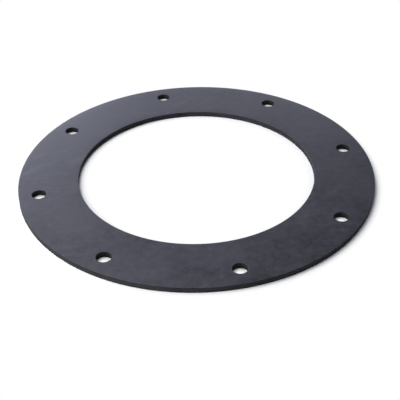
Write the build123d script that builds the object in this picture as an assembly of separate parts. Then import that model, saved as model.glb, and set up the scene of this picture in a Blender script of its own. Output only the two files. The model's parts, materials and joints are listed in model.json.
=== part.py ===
"""Flat full-face rubber gasket for a round bolted flange.

One piece of flat sheet rubber. A ring die cuts the outer edge and the bore in one stroke,
and a hollow punch cuts each bolt hole. Millimetres. The origin is the centre of the bore
on the underside, +Z runs up along the bore, and the first bolt hole lies on +X.
"""

from build123d import *
import os

# Driving dimensions
SHEET_THICKNESS = 3.0
BORE_DIAMETER = 120.0
BOLT_CIRCLE_INSET = 20.0  # from the bore's edge out to the bolt circle
OUTER_MARGIN = 10.0  # from the bolt circle out to the outer edge
BOLT_HOLE_DIAMETER = 7.2
BOLT_HOLE_COUNT = 8
ROLLED_EDGE_RADIUS = 0.1  # on the upper face, where the ring die enters the sheet

# Worked out from them
BOLT_CIRCLE_RADIUS = BORE_DIAMETER / 2 + BOLT_CIRCLE_INSET
OUTER_RADIUS = BOLT_CIRCLE_RADIUS + OUTER_MARGIN


def sheet_ring():
    """The ring as the die leaves it, with both upper edges rolled over."""
    outline = Circle(OUTER_RADIUS) - Circle(BORE_DIAMETER / 2)
    ring = extrude(outline, amount=SHEET_THICKNESS)
    upper_face = ring.faces().sort_by(Axis.Z)[-1]
    return fillet(upper_face.edges(), ROLLED_EDGE_RADIUS)


def bolt_holes():
    """The slugs that the hollow punch takes out, square-edged and right through."""
    slug = extrude(Circle(BOLT_HOLE_DIAMETER / 2), amount=SHEET_THICKNESS)
    return PolarLocations(BOLT_CIRCLE_RADIUS, BOLT_HOLE_COUNT) * slug


def gasket():
    """The finished gasket."""
    return sheet_ring() - bolt_holes()


os.makedirs("parts", exist_ok=True)
export_step(gasket(), "parts/gasket.step")
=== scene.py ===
"""The looks of a flat rubber flange gasket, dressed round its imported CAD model, in metres."""

import json
import math

import bmesh
import bpy
from mathutils import Matrix, Vector, noise


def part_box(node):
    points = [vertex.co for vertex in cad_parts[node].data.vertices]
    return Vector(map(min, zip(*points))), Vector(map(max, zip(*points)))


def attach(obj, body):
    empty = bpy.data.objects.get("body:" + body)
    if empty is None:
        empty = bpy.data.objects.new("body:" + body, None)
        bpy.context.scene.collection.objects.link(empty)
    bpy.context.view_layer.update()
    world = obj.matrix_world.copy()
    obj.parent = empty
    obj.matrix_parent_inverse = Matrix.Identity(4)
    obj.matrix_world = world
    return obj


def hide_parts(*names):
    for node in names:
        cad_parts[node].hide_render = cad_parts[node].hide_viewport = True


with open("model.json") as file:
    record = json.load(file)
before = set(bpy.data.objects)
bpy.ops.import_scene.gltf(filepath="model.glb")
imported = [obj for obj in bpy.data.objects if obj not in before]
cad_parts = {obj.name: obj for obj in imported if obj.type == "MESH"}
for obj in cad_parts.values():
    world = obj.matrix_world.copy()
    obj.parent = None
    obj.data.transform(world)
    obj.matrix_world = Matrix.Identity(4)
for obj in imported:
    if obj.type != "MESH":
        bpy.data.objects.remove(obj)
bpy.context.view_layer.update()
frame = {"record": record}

MM = 0.001

# Sizes of the part, from the frame
MOUNTS = {mount["name"]: mount["dims"] for mount in frame["record"]["mounts"]}
LOW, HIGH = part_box("gasket")
THICKNESS = HIGH.z - LOW.z
OUTER_R = HIGH.x
BORE_R = MOUNTS["bore"]["r_mm"] * MM
BOLT_CIRCLE_R = MOUNTS["bolt_circle"]["pcd_mm"] * MM / 2
HOLE_R = MOUNTS["bolt_circle"]["hole_r_mm"] * MM
HOLE_COUNT = MOUNTS["bolt_circle"]["count"]
SECTOR = math.tau / HOLE_COUNT  # each bolt hole lies at the middle of its share of the ring
SECTOR_HALF = SECTOR / 2

# Form of the cut edges
DIE_EDGE_R = 0.10 * MM  # rolled over where the ring die enters the upper face
PUNCH_EDGE_R = 0.08 * MM  # nearly sharp where the punch enters it
EXIT_EDGE_R = 0.05 * MM  # where either tool leaves the underside
EXIT_EDGE_MIDDLE = 0.3 * EXIT_EDGE_R  # in from both surfaces, halfway round that edge
WALL_DISH = 0.05 * MM  # rubber springs back, so a cut wall is slightly hollow
SUPPORT = 0.35 * MM  # flat margin between an edge and the face's mesh
EDGE_STEPS = 5
WALL_STEPS = 8

# Mesh of one sector of the ring
OUTER_STEPS = 84
SIDE_STEPS = 26
BORE_STEPS = 44
UPPER_LAYERS = 14
UNDER_LAYERS = 6
WELD = 0.001 * MM
FACE_INDEX = 0
CUT_INDEX = 1

# The sheet isn't quite flat
SWELL_DEPTH = 0.06 * MM
SWELL_SIZE = 45 * MM
DROOP_DEPTH = 0.11 * MM  # the die drags the upper face down beside its cuts
DROOP_REACH = 2.2 * MM

# Finish of the faces
SHEET_DARK = (0.0142, 0.0148, 0.0205)
SHEET_PALE = (0.0315, 0.0325, 0.0415)
SCUFF = (0.10, 0.10, 0.11)
SHEET_ROUGHNESS = (0.37, 0.56)  # where it is least and most worn
SHEET_SPECULAR = 0.5
MOTTLE_SHARE = 0.20  # how much of the mottle shows in the colour
MOST_WORN = 2.5  # clouds, mottle and scuffs added up, where the face is roughest
RIPPLE_DEPTH = 0.04 * MM
GRAIN_DEPTH = 0.008 * MM

# Finish of the cuts
CUT_DARK = (0.0152, 0.0147, 0.0162)
CUT_PALE = (0.0284, 0.0277, 0.0300)
CUT_ROUGHNESS = (0.50, 0.70)
CUT_SPECULAR = 0.05
STREAK_DEPTH = 0.03 * MM
BAND_DEPTH = 0.02 * MM

# Patterns in the faces: a noise each, with the values of it that count as none and as full
CLOUDS = dict(size=22 * MM, detail=4.0, roughness=0.6, shift=(0, 0.6, 0), shown=(0.32, 0.68))
MOTTLE = dict(size=3.5 * MM, detail=4.0, roughness=0.65, shown=(0.38, 0.70))
LONG_MARKS = dict(
    size=4 * MM, detail=4.0, stretch=(6, 1, 1), turn=0.5, shown=(0.55, 0.72), most=0.4
)
MARKED_AREAS = dict(size=45 * MM, shift=(1.5, 0, 0), shown=(0.50, 0.62))
FINE_LINES = dict(
    size=1.2 * MM, detail=3.0, stretch=(15, 1, 1), turn=-0.2, shown=(0.50, 0.75), most=0.2
)
LINED_AREAS = dict(size=30 * MM, detail=1.0, shift=(1.5, 0, 0), shown=(0.45, 0.65))
DUST = dict(size=1.2 * MM, detail=1.0, shown=(0.68, 0.80), most=0.45)

# Noises that are used whole
RIPPLE = dict(size=6 * MM, detail=1.0)
GRAIN = dict(size=0.4 * MM, detail=3.0, roughness=0.6)
STREAKS = dict(size=0.5 * MM, detail=3.0, stretch=(1, 1, 14))  # down the cut
BANDS = dict(size=0.7 * MM, detail=2.0, stretch=(12, 12, 1))  # along it
NOISE_SPAN = (0.3, 0.7)  # nearly all the values that a noise takes

# Floor
FLOOR_HALF = 20.0  # half its side
FLOOR_COLOUR = (0.95, 0.95, 0.95)
SHADOW_REACH = 4 * MM  # how far from the ring its shadow is seen
HOLE_SHADOW_REACH = 3 * MM  # and from a bolt hole's wall into the hole

# Camera: stands round the ring's centre and aims just in front of it
CAMERA_DISTANCE = 0.4366
CAMERA_AZIMUTH = math.radians(-13.14)  # from -Y, anticlockwise as seen from above
CAMERA_ELEVATION = 33.97  # degrees
CAMERA_ROLL = math.radians(-1.19)
CAMERA_LENS_MM = 76.51
CAMERA_SENSOR_MM = 36.0
AIM_FORWARD = 0.02192  # from the ring's centre towards the camera
AIM_RIGHT = 0.00150

# Azimuths as the camera sees them, in degrees round from straight behind the ring
RIGHT = 90
FRONT = 180

# Lamps: soft boxes that face the ring's centre. left_low and front_low don't show in
# reflections: the upper face would mirror left_low as plain white in views from the right, and
# front_low, as low, faces the views from behind.
NEUTRAL = (0.975, 1.01, 1.0)
ROSE = (1.02, 0.99, 1.01)
COOL = (0.915, 0.94, 1.19)
# (name, azimuth, elevation, distance, width, height, radiance, colour, shows in reflections)
LAMPS = [
    ("high_left", 275, 60, 0.90, 0.75, 0.50, 4.25, NEUTRAL, True),
    ("high_back", 330, 60, 0.90, 0.50, 0.50, 1.05, COOL, True),
    ("left_low", 252, 15, 0.90, 0.50, 0.50, 14.5, ROSE, False),
    ("back_left", 330, 15, 0.50, 0.28, 0.28, 2.8, COOL, True),
    ("near_back", 5, 15, 0.27, 0.25, 0.15, 0.92, COOL, True),
    ("front_low", 180, 15, 0.50, 0.28, 0.28, 2.6, NEUTRAL, False),
]

# Sky and backdrop
SKY_COLOUR = (0.92, 0.95, 1.30)
SKY_STRENGTH = 0.06
BACKDROP_TOP = 15  # degrees up


def add_object(name, data):
    made = bpy.data.objects.new(name, data)
    bpy.context.scene.collection.objects.link(made)
    return made


def polar(radius, angle):
    return Vector((radius * math.cos(angle), radius * math.sin(angle), 0))


def span(start, end, steps):
    """Evenly spaced values from start up to, and without, end."""
    return [start + (end - start) * i / steps for i in range(steps)]


def sector_outline(outer_r, bore_r):
    """Points round one sector, anticlockwise from the outer corner below +X."""
    half = SECTOR_HALF
    outer = [polar(outer_r, a) for a in span(-half, half, OUTER_STEPS)]
    far_side = [polar(r, half) for r in span(outer_r, bore_r, SIDE_STEPS)]
    bore = [polar(bore_r, a) for a in span(half, -half, BORE_STEPS)]
    near_side = [polar(r, -half) for r in span(bore_r, outer_r, SIDE_STEPS)]
    return outer + far_side + bore + near_side


def hole_outline(radius, outer_r, bore_r):
    """As many points round the bolt hole, each facing its point of the sector's outline."""
    centre = polar(BOLT_CIRCLE_R, 0)
    outer_corner = polar(outer_r, SECTOR_HALF) - centre
    bore_corner = polar(bore_r, SECTOR_HALF) - centre
    to_outer = math.atan2(outer_corner.y, outer_corner.x)
    to_bore = math.atan2(bore_corner.y, bore_corner.x)
    angles = span(-to_outer, to_outer, OUTER_STEPS)
    angles += span(to_outer, to_bore, SIDE_STEPS)
    angles += span(to_bore, math.tau - to_bore, BORE_STEPS)
    angles += span(math.tau - to_bore, math.tau - to_outer, SIDE_STEPS)
    return [centre + polar(radius, angle) for angle in angles]


def add_strip(mesh, rows, closed, cut_rows=()):
    """Quads between rows of points; a closed strip joins each row's end to its start."""
    grid = [[mesh.verts.new(point) for point in row] for row in rows]
    count = len(rows[0])
    for level, (upper, lower) in enumerate(zip(grid, grid[1:])):
        for i in range(count if closed else count - 1):
            j = (i + 1) % count
            face = mesh.faces.new((upper[i], upper[j], lower[j], lower[i]))
            face.material_index = CUT_INDEX if level in cut_rows else FACE_INDEX


def add_face(mesh, height, layers):
    """The flat of one sector, from its bolt hole out to its outline, at one height."""
    outer_r, bore_r = OUTER_R - SUPPORT, BORE_R + SUPPORT
    hole = hole_outline(HOLE_R + SUPPORT, outer_r, bore_r)
    outline = sector_outline(outer_r, bore_r)
    lift = Vector((0, 0, height))
    rows = []
    for layer in range(layers + 1):
        share = (1 - math.cos(math.pi * layer / layers)) / 2
        rows.append([h.lerp(o, share) + lift for h, o in zip(hole, outline)])
    add_strip(mesh, rows, closed=True)


def cut_profile(entry_r):
    """(setback into the sheet, height) down a cut edge, from the upper face to the underside."""
    profile = [(SUPPORT, THICKNESS)]
    for i in range(EDGE_STEPS + 1):
        turn = math.pi / 2 * i / EDGE_STEPS
        profile.append((entry_r * (1 - math.sin(turn)), THICKNESS - entry_r * (1 - math.cos(turn))))
    top, bottom = THICKNESS - entry_r, EXIT_EDGE_R
    for i in range(1, WALL_STEPS):
        share = i / WALL_STEPS
        profile.append((WALL_DISH * math.sin(math.pi * share), top + (bottom - top) * share))
    profile += [(0, EXIT_EDGE_R), (EXIT_EDGE_MIDDLE, EXIT_EDGE_MIDDLE), (EXIT_EDGE_R, 0)]
    profile.append((SUPPORT, 0))
    return profile


def add_edges(mesh):
    """The sector's share of the outer edge and the bore's, and its whole bolt hole."""
    outer_angles = span(-SECTOR_HALF, SECTOR_HALF, OUTER_STEPS) + [SECTOR_HALF]
    bore_angles = span(-SECTOR_HALF, SECTOR_HALF, BORE_STEPS) + [SECTOR_HALF]
    outer, bore, hole = [], [], []
    for setback, height in cut_profile(DIE_EDGE_R):
        lift = Vector((0, 0, height))
        outer.append([polar(OUTER_R - setback, a) + lift for a in outer_angles])
        bore.append([polar(BORE_R + setback, a) + lift for a in bore_angles])
    for setback, height in cut_profile(PUNCH_EDGE_R):
        lift = Vector((0, 0, height))
        ring = hole_outline(HOLE_R + setback, OUTER_R - SUPPORT, BORE_R + SUPPORT)
        hole.append([point + lift for point in ring])
    cut_rows = range(EDGE_STEPS + 1, EDGE_STEPS + WALL_STEPS + 1)
    add_strip(mesh, outer, False, cut_rows)
    add_strip(mesh, bore, False, cut_rows)
    add_strip(mesh, hole, True, cut_rows)


def lower_face(mesh):
    """Lowers the upper face a little here and there, as calendered sheet lies, and beside the
    die's two cuts. The walls follow in proportion, and the underside stays flat."""
    for vertex in mesh.verts:
        flat = Vector((vertex.co.x, vertex.co.y, 0))
        swell = SWELL_DEPTH * max(0.0, 0.5 + 0.5 * noise.noise(flat / SWELL_SIZE))
        from_cut = min(OUTER_R - flat.length, flat.length - BORE_R)
        droop = DROOP_DEPTH * math.exp(-from_cut / DROOP_REACH)
        vertex.co.z -= (swell + droop) * vertex.co.z / THICKNESS


def build_gasket():
    sector = bmesh.new()
    add_face(sector, THICKNESS, UPPER_LAYERS)
    add_face(sector, 0, UNDER_LAYERS)
    add_edges(sector)
    sector_mesh = bpy.data.meshes.new("sector")
    sector.to_mesh(sector_mesh)
    sector.free()

    ring = bmesh.new()
    for _ in range(HOLE_COUNT):
        ring.from_mesh(sector_mesh)
        sector_mesh.transform(Matrix.Rotation(SECTOR, 4, "Z"))
    bpy.data.meshes.remove(sector_mesh)
    bmesh.ops.remove_doubles(ring, verts=ring.verts, dist=WELD)
    bmesh.ops.recalc_face_normals(ring, faces=ring.faces)
    lower_face(ring)
    mesh = bpy.data.meshes.new("gasket_sheet")
    ring.to_mesh(mesh)
    ring.free()
    mesh.shade_smooth()
    mesh.materials.append(sheet_material())
    mesh.materials.append(cut_material())
    gasket = add_object("gasket_sheet", mesh)
    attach(gasket, "root")
    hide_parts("gasket")


def new_material(name):
    """A material, with its node tree and the shader in it."""
    material = bpy.data.materials.new(name)
    material.use_nodes = True
    tree = material.node_tree
    return material, tree, tree.nodes["Principled BSDF"]


def add_node(tree, kind, inputs=None, **settings):
    """A shader node; an input given a socket is linked to it, and any other is set."""
    made = tree.nodes.new(kind)
    for name, value in settings.items():
        setattr(made, name, value)
    for key, value in (inputs or {}).items():
        if isinstance(value, bpy.types.NodeSocket):
            tree.links.new(value, made.inputs[key])
        else:
            made.inputs[key].default_value = value
    return made


def math_node(tree, operation, first, second):
    return add_node(tree, "ShaderNodeMath", {0: first, 1: second}, operation=operation).outputs[0]


def noise_node(tree, size, detail=2.0, roughness=0.5, stretch=(1, 1, 1), turn=0.0, shift=(0, 0, 0)):
    """Noise whose blotches are about size metres across. They are stretched along the object's
    axes, with X and Y turned by so many radians, and shift brings another part of it here."""
    place = tree.nodes.get("Texture Coordinate") or tree.nodes.new("ShaderNodeTexCoord")
    mapping = {"Vector": place.outputs["Object"], "Location": shift}
    mapping |= {"Rotation": (0, 0, turn), "Scale": stretch}
    mapped = add_node(tree, "ShaderNodeMapping", mapping, vector_type="TEXTURE").outputs["Vector"]
    inputs = {"Vector": mapped, "Scale": 1 / size, "Detail": detail, "Roughness": roughness}
    return add_node(tree, "ShaderNodeTexNoise", inputs).outputs["Fac"]


def ranged(tree, value, source, target=(0.0, 1.0)):
    """A value carried from one range of numbers to another, and held at its ends."""
    inputs = {"Value": value, "From Min": source[0], "From Max": source[1]}
    inputs |= {"To Min": target[0], "To Max": target[1]}
    return add_node(tree, "ShaderNodeMapRange", inputs).outputs["Result"]


def pattern(tree, shown, most=1.0, **settings):
    """A share from 0 to most, over the values of a noise that are shown."""
    return ranged(tree, noise_node(tree, **settings), shown, (0.0, most))


def mixed(tree, share, first, second):
    mix = add_node(tree, "ShaderNodeMix", data_type="RGBA")
    tree.links.new(share, mix.inputs["Factor"])
    for socket, colour in ((mix.inputs["A"], first), (mix.inputs["B"], second)):
        if isinstance(colour, bpy.types.NodeSocket):
            tree.links.new(colour, socket)
        else:
            socket.default_value = (*colour, 1)
    return mix.outputs["Result"]


def bumped(tree, height, depth, normal=None):
    """A normal from a height of 0 to 1 that stands for depth metres."""
    inputs = {"Height": height, "Distance": depth, "Strength": 1.0}
    if normal:
        inputs["Normal"] = normal
    return add_node(tree, "ShaderNodeBump", inputs).outputs["Normal"]


def sheet_material():
    """The calendered skin of the sheet: blue-black, faintly clouded, dusted and scuffed."""
    material, tree, shader = new_material("sheet_face")
    clouds = pattern(tree, **CLOUDS)
    mottle = pattern(tree, **MOTTLE)
    scuffs = math_node(tree, "MULTIPLY", pattern(tree, **LONG_MARKS), pattern(tree, **MARKED_AREAS))
    lines = math_node(tree, "MULTIPLY", pattern(tree, **FINE_LINES), pattern(tree, **LINED_AREAS))
    dust = pattern(tree, **DUST)

    colour = mixed(tree, clouds, SHEET_DARK, SHEET_PALE)
    for marks in (math_node(tree, "MULTIPLY", mottle, MOTTLE_SHARE), scuffs, lines, dust):
        colour = mixed(tree, marks, colour, SCUFF)
    tree.links.new(colour, shader.inputs["Base Color"])

    worn = math_node(tree, "ADD", clouds, math_node(tree, "ADD", mottle, scuffs))
    roughness = ranged(tree, worn, (0.0, MOST_WORN), SHEET_ROUGHNESS)
    tree.links.new(roughness, shader.inputs["Roughness"])
    shader.inputs["Specular IOR Level"].default_value = SHEET_SPECULAR

    ripple = bumped(tree, noise_node(tree, **RIPPLE), RIPPLE_DEPTH)
    grain = bumped(tree, noise_node(tree, **GRAIN), GRAIN_DEPTH, ripple)
    tree.links.new(grain, shader.inputs["Normal"])
    return material


def cut_material():
    """Rubber laid bare by a tool: darker and duller, with streaks down the cut."""
    material, tree, shader = new_material("cut_wall")
    streaks = noise_node(tree, **STREAKS)
    bands = noise_node(tree, **BANDS)
    colour = mixed(tree, ranged(tree, bands, NOISE_SPAN), CUT_DARK, CUT_PALE)
    tree.links.new(colour, shader.inputs["Base Color"])
    roughness = ranged(tree, streaks, NOISE_SPAN, CUT_ROUGHNESS)
    tree.links.new(roughness, shader.inputs["Roughness"])
    shader.inputs["Specular IOR Level"].default_value = CUT_SPECULAR

    drag = bumped(tree, streaks, STREAK_DEPTH)
    tree.links.new(bumped(tree, bands, BAND_DEPTH, drag), shader.inputs["Normal"])
    return material


def seen_share(tree):
    """1 for what the camera sees, directly, mirrored or through glass, and 0 for the light on the
    part."""
    path = tree.nodes.new("ShaderNodeLightPath").outputs
    seen = math_node(tree, "MAXIMUM", path["Is Camera Ray"], path["Is Glossy Ray"])
    return math_node(tree, "MAXIMUM", seen, path["Is Transmission Ray"])


def into_hole(tree, place):
    """How far a place on the floor lies inside the nearest bolt hole, from its wall."""
    flat = add_node(tree, "ShaderNodeSeparateXYZ", {0: place}).outputs
    angle = math_node(tree, "ARCTAN2", flat["Y"], flat["X"])
    nearest = math_node(tree, "SNAP", math_node(tree, "ADD", angle, SECTOR_HALF), SECTOR)
    turn = {"Vector": place, "Angle": math_node(tree, "MULTIPLY", nearest, -1.0)}
    turned = add_node(tree, "ShaderNodeVectorRotate", turn, rotation_type="Z_AXIS").outputs["Vector"]
    ends = {0: turned, 1: (BOLT_CIRCLE_R, 0, 0)}
    from_hole = add_node(tree, "ShaderNodeVectorMath", ends, operation="DISTANCE").outputs["Value"]
    return math_node(tree, "SUBTRACT", HOLE_R, from_hole)


def floor_material():
    """White paper that takes the ring's shadow. What is seen of it turns to plain white away from
    the ring."""
    material, tree, paper = new_material("white_floor")
    paper.inputs["Base Color"].default_value = (*FLOOR_COLOUR, 1)
    paper.inputs["Roughness"].default_value = 1.0
    paper.inputs["Specular IOR Level"].default_value = 0.0

    place = tree.nodes.new("ShaderNodeTexCoord").outputs["Object"]
    length = add_node(tree, "ShaderNodeVectorMath", {0: place}, operation="LENGTH")
    from_centre = length.outputs["Value"]
    outside = math_node(tree, "SUBTRACT", from_centre, OUTER_R)
    inside = math_node(tree, "SUBTRACT", BORE_R, from_centre)
    from_ring = math_node(tree, "MAXIMUM", outside, inside)
    clear_of_ring = ranged(tree, from_ring, (0.0, SHADOW_REACH))
    clear_in_hole = ranged(tree, into_hole(tree, place), (0.0, HOLE_SHADOW_REACH))
    clear = math_node(tree, "MAXIMUM", clear_of_ring, clear_in_hole)
    share = math_node(tree, "MULTIPLY", clear, seen_share(tree))
    white = add_node(tree, "ShaderNodeEmission", {"Strength": 1.0}).outputs["Emission"]
    both = add_node(tree, "ShaderNodeMixShader", {0: share, 1: paper.outputs["BSDF"], 2: white})
    tree.links.new(both.outputs["Shader"], tree.nodes["Material Output"].inputs["Surface"])
    return material


def build_floor():
    mesh = bpy.data.meshes.new("floor")
    corners = [(x * FLOOR_HALF, y * FLOOR_HALF, 0) for x, y in ((-1, -1), (1, -1), (1, 1), (-1, 1))]
    mesh.from_pydata(corners, [], [(0, 1, 2, 3)])
    mesh.materials.append(floor_material())
    floor = add_object("floor", mesh)


def outward(azimuth, elevation):
    """A unit vector out from the ring's centre, by its azimuth and elevation in degrees."""
    bearing = CAMERA_AZIMUTH + math.pi / 2 - math.radians(azimuth)
    level = math.radians(elevation)
    return polar(math.cos(level), bearing) + Vector((0, 0, math.sin(level)))


def aimed(location, target, roll=0.0):
    """The matrix of a camera or lamp at location that faces target."""
    turn = (target - location).to_track_quat("-Z", "Y").to_matrix().to_4x4()
    return Matrix.Translation(location) @ turn @ Matrix.Rotation(roll, 4, "Z")


def build_camera():
    data = bpy.data.cameras.new("camera")
    data.lens = CAMERA_LENS_MM
    data.sensor_width = CAMERA_SENSOR_MM
    camera = add_object("camera", data)
    location = outward(FRONT, CAMERA_ELEVATION) * CAMERA_DISTANCE
    target = outward(FRONT, 0) * AIM_FORWARD + outward(RIGHT, 0) * AIM_RIGHT
    camera.matrix_world = aimed(location, target, CAMERA_ROLL)
    bpy.context.scene.camera = camera


def build_lamp(name, azimuth, elevation, distance, width, height, radiance, colour, mirrored):
    data = bpy.data.lights.new(name, "AREA")
    data.shape = "RECTANGLE"
    data.size = width
    data.size_y = height
    data.color = colour
    data.energy = math.pi * width * height * radiance
    lamp = add_object(name, data)
    lamp.visible_camera = False
    lamp.visible_glossy = mirrored
    centre = Vector((0, 0, 0))
    lamp.matrix_world = aimed(outward(azimuth, elevation) * distance, centre)


def build_sky():
    """A dim even sky, with a white backdrop low down that only the camera and reflections see."""
    world = bpy.data.worlds.new("studio")
    bpy.context.scene.world = world
    world.use_nodes = True
    tree = world.node_tree
    sky = tree.nodes["Background"]
    sky.inputs["Color"].default_value = (*SKY_COLOUR, 1)
    sky.inputs["Strength"].default_value = SKY_STRENGTH

    direction = tree.nodes.new("ShaderNodeTexCoord").outputs["Generated"]
    height = add_node(tree, "ShaderNodeSeparateXYZ", {0: direction}).outputs["Z"]
    low = math_node(tree, "LESS_THAN", height, math.sin(math.radians(BACKDROP_TOP)))
    share = math_node(tree, "MULTIPLY", low, seen_share(tree))
    backdrop = add_node(tree, "ShaderNodeBackground", {"Color": (1, 1, 1, 1), "Strength": 1.0})
    both = add_node(tree, "ShaderNodeMixShader", {0: share, 1: sky.outputs[0], 2: backdrop.outputs[0]})
    tree.links.new(both.outputs["Shader"], tree.nodes["World Output"].inputs["Surface"])


bpy.context.scene.view_settings.view_transform = "Standard"
build_gasket()
build_floor()
build_camera()
build_sky()
for lamp in LAMPS:
    build_lamp(*lamp)
